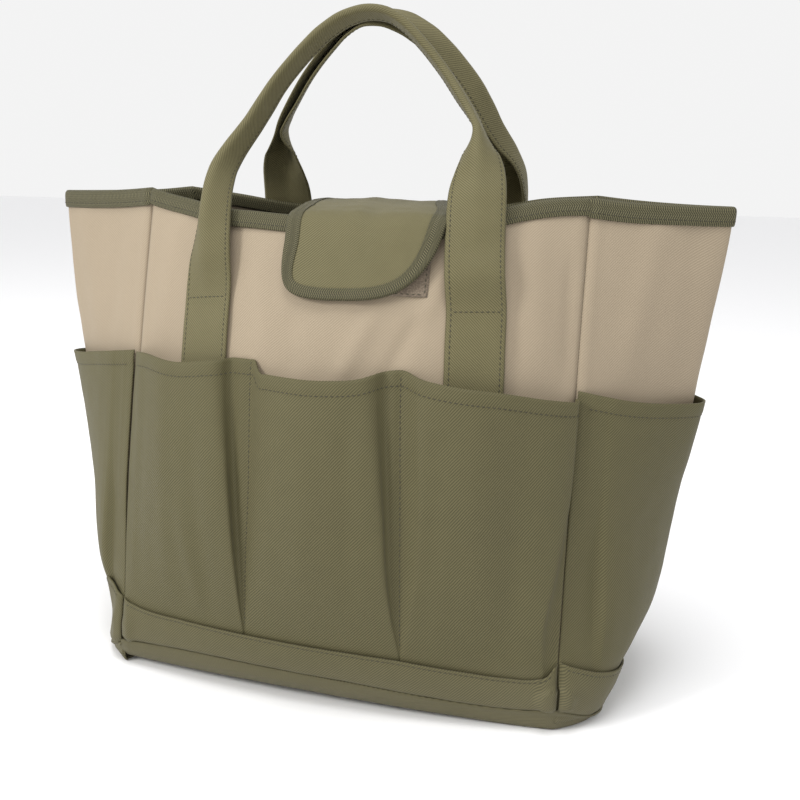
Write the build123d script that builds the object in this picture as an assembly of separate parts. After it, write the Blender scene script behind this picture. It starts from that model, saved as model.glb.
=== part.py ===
"""Garden tool bag: an open-topped fabric tote with eight outside pockets, two
strap handles and a closing flap. Millimetres, +Z up, +X to the bag's right,
-Y to its front. The origin is the middle of the base, on the floor."""
from build123d import *
import math
import os

# ---- the bag's body
panel_half_width = 155.0      # front and back panels, seam to seam
base_half_depth = 95.0        # corner seams at the base
rim_half_depth = 35.0         # corner seams at the rim, drawn together
seam_crease_x = 194.0         # the side gussets fold outwards: their crease at the bottom seam
rim_crease_x = 245.0          # and at the rim
base_belly = 17.0             # how far each gusset half bellies out at the bottom seam
seam_z = 12.0                 # bottom seam, above the rounded edge of the base
rim_corner_z = 334.0          # rim at the corner seams
rim_dip = 14.0                # how far the rim sinks in the middle, under the flap
cloth = 2.0                   # panel with its lining
gap = 0.4                     # air left between neighbouring pieces
corner_gap = 0.9              # a panel stops this far short of its corner seam

# ---- pockets and base band
pocket_top_z = 224.0
pocket_cloth = 1.5
pocket_mouth = 20.0           # how far a front or back pocket stands off at its mouth
side_mouth = 16.0             # how far a side pocket's crease stands off
band_top_z = 43.0
band_cloth = 1.5
divider_x = 52.0              # stitched lines between the three pockets

# ---- handles
strap_width = 38.0
strap_cloth = 2.5
handle_half_spacing = 91.0
stitch_z = 270.0              # the strap is free above this line
handle_top_z = 458.0
arch_start_z = 330.0          # the legs run straight up to here
grip_width = 13.0

# ---- flap
flap_half_width = 50.0
flap_shift_x = 10.0           # the flap is sewn on a little right of centre
flap_cloth = 3.0
tongue_length = 52.0
tape_width = 9.0              # bound edge of the flap
tape_proud = 0.8
rim_tape_height = 12.0
rim_tape_cloth = 1.5

levels = [seam_z + 0.3, 27.0, 43.0, 65.0, 90.0, 140.0, 190.0, 224.0, 246.0, 270.0, 300.0, 340.0]


def share(z):
    """0 at the bottom seam, 1 at the rim."""
    return (z - seam_z) / (330.0 - seam_z)


def corner_y(z):
    """Half depth between the corner seams."""
    t = share(z)
    return base_half_depth - (base_half_depth - rim_half_depth) * t + 24.0 * t * (1 - t)


def bulge(z):
    """How far the middle of the front panel stands out beyond its corner seams."""
    t = share(z)
    return 14.0 + 102.8 * t - 90.8 * t * t


def crease_x(z):
    """The crease leans out fast above the base, then runs up almost straight."""
    left = max(1 - share(z), 0.0)
    return rim_crease_x - (rim_crease_x - seam_crease_x) * (0.15 * left ** 12 + 0.85 * left ** 1.6)


def belly(z):
    """How far the middle of each gusset half stands out near the base, where the bag is fullest."""
    return base_belly * max(1 - share(z), 0.0) ** 3


def radius(z):
    """Radius of the front panel's arc in plan."""
    b = bulge(z)
    return (panel_half_width ** 2 + b * b) / (2 * b)


def panel_y(x, z, out=0.0):
    """Distance of the front skin from the middle plane, `out` mm proud of the panel."""
    centre = corner_y(z) + bulge(z) - radius(z)
    return centre + math.sqrt((radius(z) + out) ** 2 - x * x)


def gusset_points(z, out):
    """Corner and crease of the right gusset's skin, in the quarter where x and y are positive."""
    run = crease_x(z) - panel_half_width
    length = math.hypot(run, corner_y(z))
    across, along = corner_y(z) / length, run / length
    y = panel_y(panel_half_width, z, out)
    crease = crease_x(z) + out / across
    return ((across * crease - along * y) / across, y), (crease, 0.0)


def gusset_middle(z, corner, crease):
    """Point halfway along a gusset's front half, with its belly."""
    run, depth = crease[0] - corner[0], corner[1]
    length = math.hypot(run, depth)
    return (
        (corner[0] + crease[0]) / 2 + belly(z) * depth / length,
        depth / 2 + belly(z) * run / length,
    )


def heights(low, high):
    return [low] + [z for z in levels if low + 0.5 < z < high - 0.5] + [high]


def skin_face(z, x0, x1, inner, outer, swell=0.0):
    """Strip of front skin at height z, from x0 to x1, between two offsets from the panel.
    `swell` pushes its middle out, as a pocket's front stands off."""
    xm = (x0 + x1) / 2
    points = [(x0, -panel_y(x0, z, outer)), (xm, -panel_y(xm, z, outer) - swell), (x1, -panel_y(x1, z, outer))]
    back = [(x1, -panel_y(x1, z, inner)), (xm, -panel_y(xm, z, inner) - swell), (x0, -panel_y(x0, z, inner))]
    with BuildSketch(Plane.XY.offset(z)) as sketch:
        with BuildLine():
            ThreePointArc(*points)
            Line(points[2], back[0])
            ThreePointArc(*back)
            Line(back[2], points[0])
        make_face()
    return sketch.sketch.face()


def gusset_face(z, inner, outer, swell=0.0):
    """Strip of the right gusset at height z; `swell` moves its crease out."""
    corner_out, crease_out = gusset_points(z, outer)
    corner_in, crease_in = gusset_points(z, inner)
    crease_out = (crease_out[0] + swell, 0)
    crease_in = (crease_in[0] + swell, 0)
    middle_out = gusset_middle(z, corner_out, crease_out)
    middle_in = gusset_middle(z, corner_in, crease_in)
    outline = [
        (corner_out[0] + gap, -corner_out[1] + gap),
        (middle_out[0], -middle_out[1]),
        crease_out,
        middle_out,
        (corner_out[0] + gap, corner_out[1] - gap),
        (corner_in[0] + gap, corner_in[1] - gap),
        middle_in,
        crease_in,
        (middle_in[0], -middle_in[1]),
        (corner_in[0] + gap, -corner_in[1] + gap),
    ]
    with BuildSketch(Plane.XY.offset(z)) as sketch:
        with BuildLine():
            Polyline(*outline, close=True)
        make_face()
    return sketch.sketch.face()


def outline_face(z, out):
    """The whole bag in plan at height z, `out` mm outside the panels."""
    corner, crease = gusset_points(z, out)
    middle = gusset_middle(z, corner, crease)
    right_side = [(corner[0], -corner[1]), (middle[0], -middle[1]), crease, middle, corner]
    if belly(z) < 0.1:
        right_side = [(corner[0], -corner[1]), crease, corner]
    left_side = [(-x, -y) for x, y in right_side]
    front = (0, -panel_y(0, z, out))
    back = (0, panel_y(0, z, out))
    with BuildSketch(Plane.XY.offset(z)) as sketch:
        with BuildLine():
            ThreePointArc((-corner[0], -corner[1]), front, (corner[0], -corner[1]))
            Polyline(*right_side)
            ThreePointArc(corner, back, (-corner[0], corner[1]))
            Polyline(*left_side)
        make_face()
    return sketch.sketch.face()


def stack(faces):
    return loft(faces, ruled=True)


def rim_prism(lift, height):
    """Everything from `lift` mm above the rim line up by `height`, to cut or keep."""
    far = rim_crease_x + 60
    side = rim_corner_z + lift
    with BuildSketch(Plane.XZ) as sketch:
        with BuildLine():
            Line((-far, side), (-panel_half_width, side))
            ThreePointArc((-panel_half_width, side), (0, side - rim_dip), (panel_half_width, side))
            Line((panel_half_width, side), (far, side))
            Line((far, side), (far, side + height))
            Line((far, side + height), (panel_half_width, side + height))
            ThreePointArc(
                (panel_half_width, side + height), (0, side + height - rim_dip), (-panel_half_width, side + height)
            )
            Line((-panel_half_width, side + height), (-far, side + height))
            Line((-far, side + height), (-far, side))
        make_face()
    return extrude(sketch.sketch, amount=200, both=True)


def turned(shape):
    """The same piece on the opposite side of the bag."""
    return shape.rotate(Axis.Z, 180)


# ---- base
def make_bottom_panel():
    outer = stack([outline_face(0, -5), outline_face(3, 0.5), outline_face(seam_z, 3.6)])
    hollow = stack([outline_face(2, -6), outline_face(5, -4), outline_face(seam_z + 1, -2.6)])
    return outer - hollow


def make_base_board():
    return stack([outline_face(2.4, -9), outline_face(4.9, -9)])


# ---- walls
def make_front_panel():
    edge = panel_half_width - corner_gap
    faces = [skin_face(z, -edge, edge, -cloth, 0) for z in heights(levels[0], levels[-1])]
    return stack(faces) - rim_prism(0, 60)


def make_right_gusset():
    faces = [gusset_face(z, -cloth, 0) for z in heights(levels[0], levels[-1])]
    return stack(faces) - rim_prism(0, 60)


def make_rim_binding():
    low, high = 300.0, 345.0
    outside = rim_tape_cloth + 0.3
    inside = -cloth - 0.3 - rim_tape_cloth
    ring = stack([outline_face(low, outside), outline_face(high, outside)])
    ring -= stack([outline_face(low - 1, inside), outline_face(high + 1, inside)])
    ring &= rim_prism(-rim_tape_height, rim_tape_height + 1.6)
    groove = stack([outline_face(low - 2, 0.3), outline_face(high, 0.3)])
    groove -= stack([outline_face(low - 3, -cloth - 0.3), outline_face(high + 1, -cloth - 0.3)])
    groove -= rim_prism(0.3, 60)
    return ring - groove


# ---- pockets
def stand_off(z, mouth):
    """A pocket lies on the panel at the band and stands off towards its mouth."""
    if z <= band_top_z:
        return 0.0
    return mouth * ((z - band_top_z) / (pocket_top_z - band_top_z)) ** 0.75


def make_front_pocket(x0, x1):
    faces = [
        skin_face(z, x0 + gap, x1 - gap, 0.4, 0.4 + pocket_cloth, stand_off(z, pocket_mouth))
        for z in heights(levels[0], pocket_top_z)
    ]
    return stack(faces)


def make_right_pocket():
    faces = [
        gusset_face(z, 0.4, 0.4 + pocket_cloth, stand_off(z, side_mouth))
        for z in heights(levels[0], pocket_top_z)
    ]
    return stack(faces)


def make_front_base_band():
    edge = panel_half_width - corner_gap
    inner = 0.8 + pocket_cloth
    faces = [skin_face(z, -edge, edge, inner, inner + band_cloth) for z in heights(levels[0], band_top_z)]
    return stack(faces)


def make_right_base_band():
    inner = 0.8 + pocket_cloth
    faces = [gusset_face(z, inner, inner + band_cloth) for z in heights(levels[0], band_top_z)]
    return stack(faces)


# ---- inside seams
def make_seam_binding(side_x, side_y):
    """Folded tape over the seam allowance, standing into the bag from a corner seam."""
    faces = []
    for z in heights(levels[0], 310.0):
        corner = gusset_points(z, -cloth - 0.6)[0]
        x, y = corner[0] * side_x, corner[1] * side_y
        with BuildSketch(Plane.XY.offset(z)) as sketch:
            with Locations((x - 6.5 * side_x, y - 5.5 * side_y)):
                Rectangle(9, 2.4)
        faces.append(sketch.sketch.face())
    return stack(faces)


# ---- handles
def make_handle_tail(side):
    """The end of a strap, sewn flat to the front panel down into the pocket."""
    middle = side * handle_half_spacing
    x0, x1 = middle - strap_width / 2, middle + strap_width / 2
    return stack([skin_face(z, x0, x1, 0.4, 2.4) for z in heights(190.0, stitch_z)])


def handle_section(x, y, z, tangent, wide, thick):
    """Rectangle across the strap: `wide` in the plane of the arch and `thick` front to back."""
    across = Vector(tangent.Z, 0, -tangent.X).normalized()
    plane = Plane(origin=(x, y, z), x_dir=across, z_dir=tangent)
    return (plane * Rectangle(wide, thick)).face()


def leg_y(z):
    """Middle of the strap, front to back: close over the rim, then in to the middle."""
    hinge_y = handle_hinge_y() - strap_cloth / 2
    rim_y = panel_y(handle_half_spacing - strap_width / 2, rim_corner_z, rim_tape_cloth + 0.3) + 3.6
    if z <= rim_corner_z:
        part = (z - stitch_z) / (rim_corner_z - stitch_z)
        return -(hinge_y + (rim_y - hinge_y) * part)
    part = (z - rim_corner_z) / (handle_top_z - rim_corner_z)
    return -(rim_y + (grip_width / 2 + 1.2 - rim_y) * math.sin(part * math.pi / 2))


def handle_hinge_y():
    """The stitch line's place: the strap's outer face where it stands furthest out."""
    return panel_y(handle_half_spacing - strap_width / 2, stitch_z) + 1.2 + strap_cloth


def make_front_handle():
    rise = handle_top_z - arch_start_z
    half_path = []
    for z in (stitch_z + 0.5, 300.0, arch_start_z):
        half_path.append((-handle_half_spacing, z, strap_width, strap_cloth))
    for step in range(1, 10):
        angle = math.pi / 2 * step / 9
        folded = min(1.0, math.sin(angle) * 1.25)
        wide = strap_width + (grip_width - strap_width) * folded
        thick = strap_cloth + (grip_width - strap_cloth) * folded
        half_path.append((-handle_half_spacing * math.cos(angle), arch_start_z + rise * math.sin(angle), wide, thick))
    path = half_path + [(-x, z, wide, thick) for x, z, wide, thick in reversed(half_path[:-1])]
    faces = []
    for i, (x, z, wide, thick) in enumerate(path):
        before = path[max(i - 1, 0)]
        after = path[min(i + 1, len(path) - 1)]
        level_end = i in (0, len(path) - 1)
        tangent = Vector(after[0] - before[0], 0 if level_end else leg_y(after[1]) - leg_y(before[1]), after[1] - before[1])
        faces.append(handle_section(x, leg_y(z), z, tangent.normalized(), wide, thick))
    return stack(faces)


# ---- flap
flap_z = rim_corner_z - rim_dip + 5.0            # underside of the flap, over the rim tape
flap_back_y = panel_y(0, 320.0) + 1.0
fold_y = -panel_y(0, 320.0) - 4.6                # the flap folds down in front of the rim
fold_gap = 3.4                                   # room for the tongue to turn at the fold
tongue_lean = math.degrees(math.atan2(panel_y(0, 274.0) - panel_y(0, 320.0), 46.0))


def make_flap():
    depth = flap_back_y - fold_y
    core = Box(2 * flap_half_width - 2 * 1.0, depth, flap_cloth, align=(Align.CENTER, Align.MAX, Align.MIN))
    return core.moved(Location((flap_shift_x, flap_back_y, flap_z)))


def make_flap_binding():
    """Two bound edges, one each side of the flap's top leaf."""
    depth = flap_back_y - fold_y
    tall = flap_cloth + 2 * tape_proud
    tapes = []
    for side in (-1, 1):
        tape = Box(tape_width, depth, tall)
        slot = Box(tape_width, depth + 2, flap_cloth + 0.2).moved(Location((-side * 1.6, 0, 0)))
        tape = (tape - slot).moved(
            Location(
                (
                    flap_shift_x + side * (flap_half_width + 1.0 - tape_width / 2),
                    (flap_back_y + fold_y) / 2,
                    flap_z + flap_cloth / 2,
                )
            )
        )
        tapes.append(tape)
    return Compound(tapes)


def tongue_sketch(inset):
    """Outline of the tongue, from its fold at y = 0 down to its rounded end."""
    half = flap_half_width + 1.0 - inset
    length = tongue_length - inset
    corner = 22.0 - inset
    with BuildSketch() as sketch:
        with BuildLine():
            Line((-half, 0), (half, 0))
            Line((half, 0), (half, -length + corner))
            RadiusArc((half, -length + corner), (half - corner, -length), corner)
            Line((half - corner, -length), (-half + corner, -length))
            RadiusArc((-half + corner, -length), (-half, -length + corner), corner)
            Line((-half, -length + corner), (-half, 0))
        make_face()
    return sketch.sketch


def tongue_place():
    """Plane of the tongue: y runs up its face and z points out of the bag."""
    lean = math.radians(tongue_lean)
    up = Vector(0, math.sin(lean), math.cos(lean))
    out = Vector(0, -math.cos(lean), math.sin(lean))
    origin = Vector(flap_shift_x, fold_y - fold_gap, flap_z + flap_cloth * 0.4)
    return Plane(origin=origin, x_dir=(1, 0, 0), z_dir=out), up


def make_flap_tongue():
    core = extrude(tongue_sketch(2.0), amount=flap_cloth)
    return tongue_place()[0] * core


def make_tongue_binding():
    outer = extrude(tongue_sketch(0.0), amount=flap_cloth + 2 * tape_proud).moved(Location((0, 0, -tape_proud)))
    window = extrude(tongue_sketch(tape_width), amount=40, both=True)
    window += Box(2 * (flap_half_width + 1.0 - tape_width), 20, 80)
    slot = extrude(tongue_sketch(1.9), amount=flap_cloth + 0.2).moved(Location((0, 0, -0.1)))
    return tongue_place()[0] * (outer - window - slot)


def make_hook_patch():
    """Hook tape on the tongue's back."""
    patch = Box(62, 20, 1.4, align=(Align.CENTER, Align.CENTER, Align.MAX))
    return tongue_place()[0] * patch.moved(Location((0, -30, -0.1)))


def make_loop_patch():
    """Loop tape on the front panel, under the tongue."""
    x0, x1 = flap_shift_x - 46, flap_shift_x + 46
    return stack([skin_face(z, x0, x1, 0.3, 1.5) for z in (276.0, 300.0)])


pockets = {
    "left": (-panel_half_width, -divider_x),
    "centre": (-divider_x, divider_x),
    "right": (divider_x, panel_half_width),
}

parts = {
    "bottom_panel": make_bottom_panel(),
    "base_board": make_base_board(),
    "front_panel": make_front_panel(),
    "right_gusset": make_right_gusset(),
    "right_pocket": make_right_pocket(),
    "front_base_band": make_front_base_band(),
    "right_base_band": make_right_base_band(),
    "rim_binding": make_rim_binding(),
    "front_handle": make_front_handle(),
    "flap": make_flap(),
    "flap_binding": make_flap_binding(),
    "flap_tongue": make_flap_tongue(),
    "tongue_binding": make_tongue_binding(),
    "hook_patch": make_hook_patch(),
    "loop_patch": make_loop_patch(),
}
for place, (x0, x1) in pockets.items():
    parts[f"front_{place}_pocket"] = make_front_pocket(x0, x1)
for name, side in (("left", -1), ("right", 1)):
    parts[f"front_handle_{name}_end"] = make_handle_tail(side)
    parts[f"front_{name}_seam_binding"] = make_seam_binding(side, -1)
    parts[f"back_{name}_seam_binding"] = make_seam_binding(side, 1)

# the back of the bag is the front turned half round, and left and right trade places
opposite = {"left": "right", "right": "left"}
for name in [n for n in parts if n.startswith("front_") and "seam" not in n]:
    words = ["back" if w == "front" else opposite.get(w, w) for w in name.split("_")]
    parts["_".join(words)] = turned(parts[name])
for name in ("right_gusset", "right_pocket", "right_base_band"):
    parts[name.replace("right", "left")] = turned(parts[name])

os.makedirs("parts", exist_ok=True)
for name, shape in parts.items():
    shape.label = name
    export_step(shape, f"parts/{name}.step")

print("handle hinge: y", round(handle_hinge_y(), 2), "z", stitch_z)
print("flap hinge: y", round(flap_back_y, 2), "z", flap_z)
print("tongue fold: y", round(fold_y - fold_gap, 2), "z", round(flap_z + flap_cloth * 0.4, 2), "lean", round(tongue_lean, 1))
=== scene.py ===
import math
from functools import partial

import bpy
import numpy as np
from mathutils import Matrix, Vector, noise


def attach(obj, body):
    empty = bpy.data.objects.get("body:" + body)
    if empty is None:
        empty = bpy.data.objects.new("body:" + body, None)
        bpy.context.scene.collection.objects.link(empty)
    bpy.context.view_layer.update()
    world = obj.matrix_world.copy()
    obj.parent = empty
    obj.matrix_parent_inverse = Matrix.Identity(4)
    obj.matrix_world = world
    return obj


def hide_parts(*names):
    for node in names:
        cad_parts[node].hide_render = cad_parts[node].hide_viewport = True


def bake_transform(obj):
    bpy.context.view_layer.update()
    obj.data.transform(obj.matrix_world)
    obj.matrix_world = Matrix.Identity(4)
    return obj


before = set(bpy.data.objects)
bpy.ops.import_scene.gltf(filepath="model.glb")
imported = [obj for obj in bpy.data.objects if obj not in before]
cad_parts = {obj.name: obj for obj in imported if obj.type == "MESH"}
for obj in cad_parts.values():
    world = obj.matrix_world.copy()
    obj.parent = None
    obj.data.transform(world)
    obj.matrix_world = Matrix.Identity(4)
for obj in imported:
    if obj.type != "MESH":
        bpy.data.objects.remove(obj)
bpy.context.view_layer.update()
print("stage: frame loaded,", len(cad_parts), "nodes")

mm = 0.001  # the shaping below is in millimetres

bag = {
    "halfWidth": 155.0,  # middle of the front to a corner seam
    "frontWidth": 310.0,
    "sideLength": 215.0,  # along a side wall from corner to corner
    "baseHalfDepth": 95.0,
    "rimHalfDepth": 35.0,
    "seamHeight": 12.0,
    "rimSpan": 318.0,
    "seamCrease": 194.0,  # side crease at the base
    "rimCrease": 245.0,  # and at the rim
    "baseBelly": 17.0,
    "wallCloth": 1.4,
    "pocketCloth": 1.1,
    "bandCloth": 1.2,
}


# the bag's walls, as the frame has them
def share(z):
    return (z - bag["seamHeight"]) / bag["rimSpan"]


def cornerY(z):
    t = share(z)
    return bag["baseHalfDepth"] - (bag["baseHalfDepth"] - bag["rimHalfDepth"]) * t + 24.0 * t * (1 - t)


def bulge(z):
    t = share(z)
    return 14.0 + 102.8 * t - 90.8 * t * t


def creaseX(z):
    left = np.maximum(1 - share(z), 0.0)
    return bag["rimCrease"] - (bag["rimCrease"] - bag["seamCrease"]) * (0.15 * left**12 + 0.85 * left**1.6)


def panelY(x, z):  # distance of the front wall from the middle plane
    half = bag["halfWidth"]
    x = np.clip(x, -half, half)
    b = bulge(z)
    radius = (half * half + b * b) / (2 * b)
    return cornerY(z) + b - radius + np.sqrt(radius * radius - x * x)


sideDraw = {  # how much further in than the frame each side crease is drawn by the loaded cloth
    "right": [(0, 30), (12, 29), (20, 26), (31, 20), (45, 9), (60, 3.5), (80, 3.5), (110, 6.5), (140, 8),
              (200, 7), (230, 7), (260, 5.5),
              (300, 3), (334, 1.5)],
    "left": [(0, 22), (20, 23), (40, 22), (60, 15), (80, 9), (110, 6), (150, 3), (200, 1.5), (250, 0),
             (334, -0.5)],
}


def gussetSpot(t, z, isLeft):  # a side wall, t from its first corner to the next one
    drawn = np.where(isLeft, through(z, sideDraw["left"]), through(z, sideDraw["right"]))
    depth = cornerY(z)
    y = depth * (2 * t - 1)
    low = np.maximum(1 - share(z), 0.0)
    soft = 1.5 + 30.0 * low**2  # the crease is sharp at the rim and round below
    pulled = (np.sqrt(y * y + soft * soft) - soft) * depth / (np.sqrt(depth * depth + soft * soft) - soft)
    k = pulled / depth
    crease = creaseX(z) - drawn
    run = crease - bag["halfWidth"]
    length = np.sqrt(run * run + depth * depth)
    swell = np.where(isLeft, -6.0, 5.0) * np.exp(-(((z - 26.0) / 22.0) ** 2))
    out = (bag["baseBelly"] * low**3 + 2.0 * low + swell) * 4 * k * (1 - k)
    return crease - run * k + out * depth / length, y + np.sign(y) * out * run / length


def wallBase(s, z):  # s goes round the bag: front 0 to 1, right 1 to 2, back 2 to 3, left 3 to 4
    s = np.mod(s, 4.0)
    side = np.floor(s).astype(int)
    t = s - side
    x = bag["halfWidth"] * (2 * t - 1)
    sideX, sideY = gussetSpot(t, z, side == 3)
    even = side % 2 == 0
    turn = np.where(side >= 2, -1.0, 1.0)
    return turn * np.where(even, x, sideX), turn * np.where(even, -panelY(x, z), sideY)


def wall(s, z, out):
    s, z = np.broadcast_arrays(np.asarray(s, float), np.asarray(z, float))
    x, y = wallBase(s, z)
    ax, ay = wallBase(s - 0.006, z)
    bx, by = wallBase(s + 0.006, z)
    length = np.hypot(bx - ax, by - ay)
    return np.stack([x + out * (by - ay) / length, y - out * (bx - ax) / length, z], axis=1)


def through(x, table):  # smooth curve through a table of (x, value)
    xs = np.array([p[0] for p in table], float)
    ys = np.array([p[1] for p in table], float)
    slope = np.gradient(ys, xs)
    x = np.clip(x, xs[0], xs[-1])
    i = np.clip(np.searchsorted(xs, x, side="right") - 1, 0, len(xs) - 2)
    h = xs[i + 1] - xs[i]
    t = (x - xs[i]) / h
    return (
        (2 * t**3 - 3 * t * t + 1) * ys[i]
        + (t**3 - 2 * t * t + t) * h * slope[i]
        + (3 * t * t - 2 * t**3) * ys[i + 1]
        + (t**3 - t * t) * h * slope[i + 1]
    )


def smoothStep(a, b, x):
    t = np.clip((x - a) / (b - a), 0.0, 1.0)
    return t * t * (3 - 2 * t)


def rumple(x, z, scale, seed):  # soft unevenness, between about -1 and 1
    return np.array([noise.noise(Vector((a / scale, b / scale, seed))) for a, b in zip(x, z)])


def rumples(x, z, seed, waves):  # several at once, each a height, a size and a shift of the seed
    return sum(height * rumple(x, z, size, seed + shift) for height, size, shift in waves)


def alongTable(v, dots, k):  # value k of dots that are evenly spaced from 0 to 1
    run = np.linspace(0, 1, len(dots))
    return through(v, list(zip(run, [p[k] for p in dots])))


def softFold(x, z, start, end, width, height):  # one drawn fold across the cloth
    ax, az = start
    bx, bz = end
    length = math.hypot(bx - ax, bz - az)
    along = ((x - ax) * (bx - ax) + (z - az) * (bz - az)) / length
    across = ((x - ax) * (bz - az) - (z - az) * (bx - ax)) / length
    ends = smoothStep(-0.2, 0.25, along / length) * (1 - smoothStep(0.75, 1.2, along / length))
    return height * ends * np.exp(-((across / width) ** 2))


# helpers that use Blender's own tools
def clearSelection():
    if bpy.context.object and bpy.context.object.mode != "OBJECT":
        bpy.ops.object.mode_set(mode="OBJECT")
    bpy.ops.object.select_all(action="DESELECT")


def makeCurrent(piece):
    clearSelection()
    piece.select_set(True)
    bpy.context.view_layer.objects.active = piece


def applyAll(piece):
    makeCurrent(piece)
    for modifier in list(piece.modifiers):
        bpy.ops.object.modifier_apply(modifier=modifier.name)


# place gives the spots in millimetres for u across and v up, both from 0 to 1
def clothSheet(name, across, up, place, thick, skin, lining=None, offset=-1.0, closed=False,
               straight=False):
    clearSelection()
    bpy.ops.mesh.primitive_grid_add(x_subdivisions=across, y_subdivisions=up, size=2.0,
                                    location=(0, 0, 0))
    piece = bpy.context.object
    piece.name = name
    mesh = piece.data
    mesh.name = name
    flat = np.empty(len(mesh.vertices) * 3)
    mesh.vertices.foreach_get("co", flat)
    flat = flat.reshape(-1, 3)
    u, v = (flat[:, 0] + 1) / 2, (flat[:, 1] + 1) / 2
    spots = place(u, v) * mm
    mesh.vertices.foreach_set("co", spots.ravel())
    columns = int(np.sum(np.abs(flat[:, 1] - flat[0, 1]) < 1e-6))
    net = spots.reshape(-1, columns, 3)  # the weave follows the cloth's own lengths
    rowRun = np.zeros(net.shape[:2])
    rowRun[:, 1:] = np.cumsum(np.linalg.norm(np.diff(net, axis=1), axis=2), axis=1)
    rowRun -= rowRun[:, columns // 2][:, None]
    columnRun = np.zeros(net.shape[:2])
    columnRun[1:] = np.cumsum(np.linalg.norm(np.diff(net, axis=0), axis=2), axis=0)
    if straight:
        columnRun[:] = columnRun.mean(axis=1)[:, None]
    lengths = np.stack([rowRun.ravel(), columnRun.ravel()], axis=1)
    corners = np.empty(len(mesh.loops), dtype=np.int32)
    mesh.loops.foreach_get("vertex_index", corners)
    mesh.uv_layers[0].data.foreach_set("uv", lengths[corners].ravel())
    mesh.update()
    mesh.materials.append(skin)
    if lining:
        mesh.materials.append(lining)
    if closed:
        makeCurrent(piece)
        bpy.ops.object.mode_set(mode="EDIT")
        bpy.ops.mesh.select_all(action="SELECT")
        bpy.ops.mesh.remove_doubles(threshold=0.00002)
        bpy.ops.object.mode_set(mode="OBJECT")
    if thick:
        wallThickness = piece.modifiers.new("cloth", "SOLIDIFY")
        wallThickness.thickness = thick * mm
        wallThickness.offset = offset
        wallThickness.use_quality_normals = True
        wallThickness.material_offset = 1 if lining else 0
        applyAll(piece)
    makeCurrent(piece)
    bpy.ops.object.shade_smooth()
    return piece


def halfTurnCopy(piece, name):  # the same piece on the opposite side of the bag
    clearSelection()
    other = piece.copy()
    other.data = piece.data.copy()
    other.name = name
    other.data.name = name
    bpy.context.collection.objects.link(other)
    spots = np.empty(len(other.data.vertices) * 3)
    other.data.vertices.foreach_get("co", spots)
    spots = spots.reshape(-1, 3) * np.array([-1.0, -1.0, 1.0])
    other.data.vertices.foreach_set("co", spots.ravel())
    other.data.update()
    return other


stitch = {"length": 2.2, "width": 0.7, "height": 0.45, "step": 3.4}


def rowOn(place, us, vs, count, lift, step=stitch["step"]):  # stitch places along a line on a piece
    us, vs = np.linspace(*us, count), np.linspace(*vs, count)
    here = place(us, vs)
    normal = np.cross(place(us + 1e-3, vs) - here, place(us, vs + 1e-3) - here)
    normal /= np.linalg.norm(normal, axis=1)[:, None]
    here = here + normal * lift
    run = np.concatenate([[0], np.cumsum(np.linalg.norm(np.diff(here, axis=0), axis=1))])
    marks = np.arange(step * 0.7, run[-1] - step * 0.4, step)

    def at(values, m):
        return np.stack([np.interp(m, run, values[:, k]) for k in range(3)], axis=1)

    return at(here, marks), at(here, marks + 0.8) - at(here, marks - 0.8), at(normal, marks)


def modelStitch():
    clearSelection()
    quarter = (0, math.pi / 2, 0)
    bpy.ops.mesh.primitive_uv_sphere_add(segments=6, ring_count=4, radius=0.5, location=(0, 0, 0),
                                         rotation=quarter)
    bead = bpy.context.object
    bpy.ops.object.transform_apply(location=True, rotation=True, scale=True)
    bead.scale = (stitch["length"], stitch["width"], stitch["height"])
    bpy.ops.object.transform_apply(location=False, rotation=False, scale=True)
    spots = np.array([v.co[:] for v in bead.data.vertices])
    faces = [tuple(p.vertices) for p in bead.data.polygons]
    bpy.data.objects.remove(bead, do_unlink=True)
    return spots, faces


beadSpots, beadFaces = modelStitch()


def sewRows(name, rows, thread, half=False):
    places = np.concatenate([r[0] for r in rows])
    alongs = np.concatenate([r[1] for r in rows])
    normals = np.concatenate([r[2] for r in rows])
    if half:
        turn = np.array([-1.0, -1.0, 1.0])
        places, alongs, normals = places * turn, alongs * turn, normals * turn
    alongs /= np.linalg.norm(alongs, axis=1)[:, None]
    sides = np.cross(normals, alongs)
    sides /= np.linalg.norm(sides, axis=1)[:, None]
    normals = np.cross(alongs, sides)
    axes = np.stack([alongs, sides, normals], axis=1)
    spots = (places[:, None, :] + np.einsum("bk,nkc->nbc", beadSpots, axes)) * mm
    count = len(beadSpots)
    faces = [tuple(i + n * count for i in face) for n in range(len(places)) for face in beadFaces]
    mesh = bpy.data.meshes.new(name)
    mesh.from_pydata(spots.reshape(-1, 3).tolist(), [], faces)
    mesh.materials.append(thread)
    mesh.update()
    piece = bpy.data.objects.new(name, mesh)
    bpy.context.collection.objects.link(piece)
    makeCurrent(piece)
    bpy.ops.object.shade_smooth()
    return piece


# materials
def setInputs(tree, node, values):  # an output of another node is linked, anything else is set
    for key, value in values.items():
        if isinstance(value, bpy.types.NodeSocket):
            tree.links.new(value, node.inputs[key])
        else:
            node.inputs[key].default_value = value


def addNode(tree, kind, values={}, **settings):
    node = tree.nodes.new(kind)
    for key, value in settings.items():
        setattr(node, key, value)
    setInputs(tree, node, values)
    return node


def mathNode(tree, operation, *values):
    return addNode(tree, "ShaderNodeMath", dict(enumerate(values)), operation=operation).outputs[0]


def mixNode(tree, factor, first, second, blend="MIX"):
    values = {0: factor, 6: first, 7: second}
    return addNode(tree, "ShaderNodeMix", values, data_type="RGBA", blend_type=blend).outputs[2]


def noiseNode(tree, vector, scale, detail):
    values = {"Vector": vector, "Scale": scale, "Detail": detail}
    return addNode(tree, "ShaderNodeTexNoise", values).outputs["Fac"]


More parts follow.
